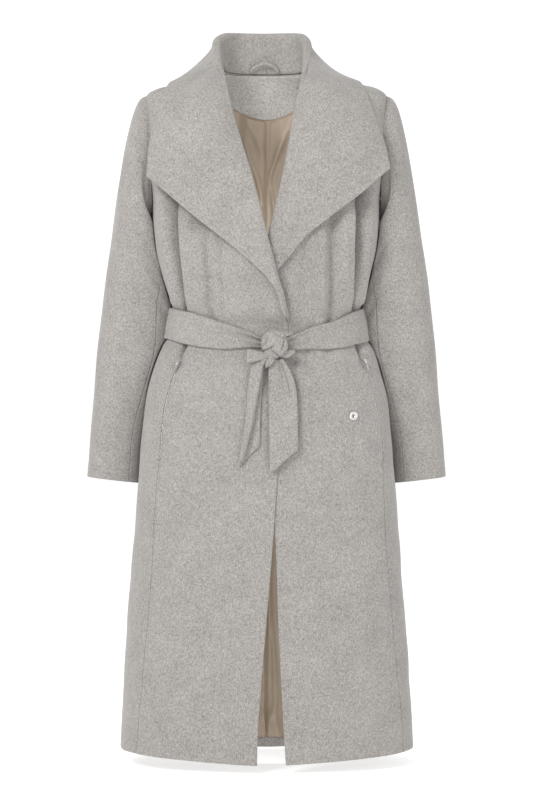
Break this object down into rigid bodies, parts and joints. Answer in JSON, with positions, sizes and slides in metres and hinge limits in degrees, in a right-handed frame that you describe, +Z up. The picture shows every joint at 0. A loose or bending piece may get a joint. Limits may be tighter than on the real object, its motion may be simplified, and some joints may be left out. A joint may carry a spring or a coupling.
{
  "type": "belted wrap overcoat",
  "caption": "Knee-length belted wool wrap coat with a wide draped collar, pointed lapels, set-in sleeves, zipped seam pockets and a satin-lined inside.",
  "frame": {"origin": "base of the neck, midway between the shoulders that carry the coat, in the plane of the side seams of the shoulder", "axes": "+Z up along the coat's length, -Y out of the front, +X to the wearer's left"},
  "size_m": [0.617, 0.2884, 1.2421],
  "materials": {
    "wool": "brushed melange coating wool, matt with a soft nap",
    "lining_satin": "woven satin lining, soft sheen",
    "silver": "polished nickel-coloured metal"
  },
  "bodies": {
    "coat": {"back": "wool", "front_right": "wool", "front_left": "wool", "side_right": "wool", "side_left": "wool", "sleeve_upper_right": "wool", "sleeve_upper_left": "wool", "sleeve_under_right": "wool", "sleeve_under_left": "wool", "collar_right": "wool", "collar_left": "wool", "neck_facing": "wool", "hem_facing": "wool", "hanger_loop": "wool", "belt_band": "wool", "belt_knot": "wool", "belt_tail_narrow": "wool", "belt_tail_broad": "wool", "neck_piping": "lining_satin", "lining_back_right": "lining_satin", "lining_back_left": "lining_satin", "pocket_zip_right": "silver", "pocket_zip_left": "silver", "zip_slider_right": "silver", "zip_slider_left": "silver", "snap_ring": "silver"},
    "zip_pull_right": {"zip_pull_right": "silver"},
    "zip_pull_left": {"zip_pull_left": "silver"}
  },
  "joints": [
    {"name": "zip_pull_right_swing", "type": "hinge", "parent": "coat", "child": "zip_pull_right", "pos_m": [-0.14929, -0.08156, -0.48272], "axis": [-0.6462, 0.7389, 0.191], "range_deg": [0, 150]},
    {"name": "zip_pull_left_swing", "type": "hinge", "parent": "coat", "child": "zip_pull_left", "pos_m": [0.1656, -0.06822, -0.47907], "axis": [-0.6705, -0.7314, -0.1242], "range_deg": [0, 150]}
  ]
}
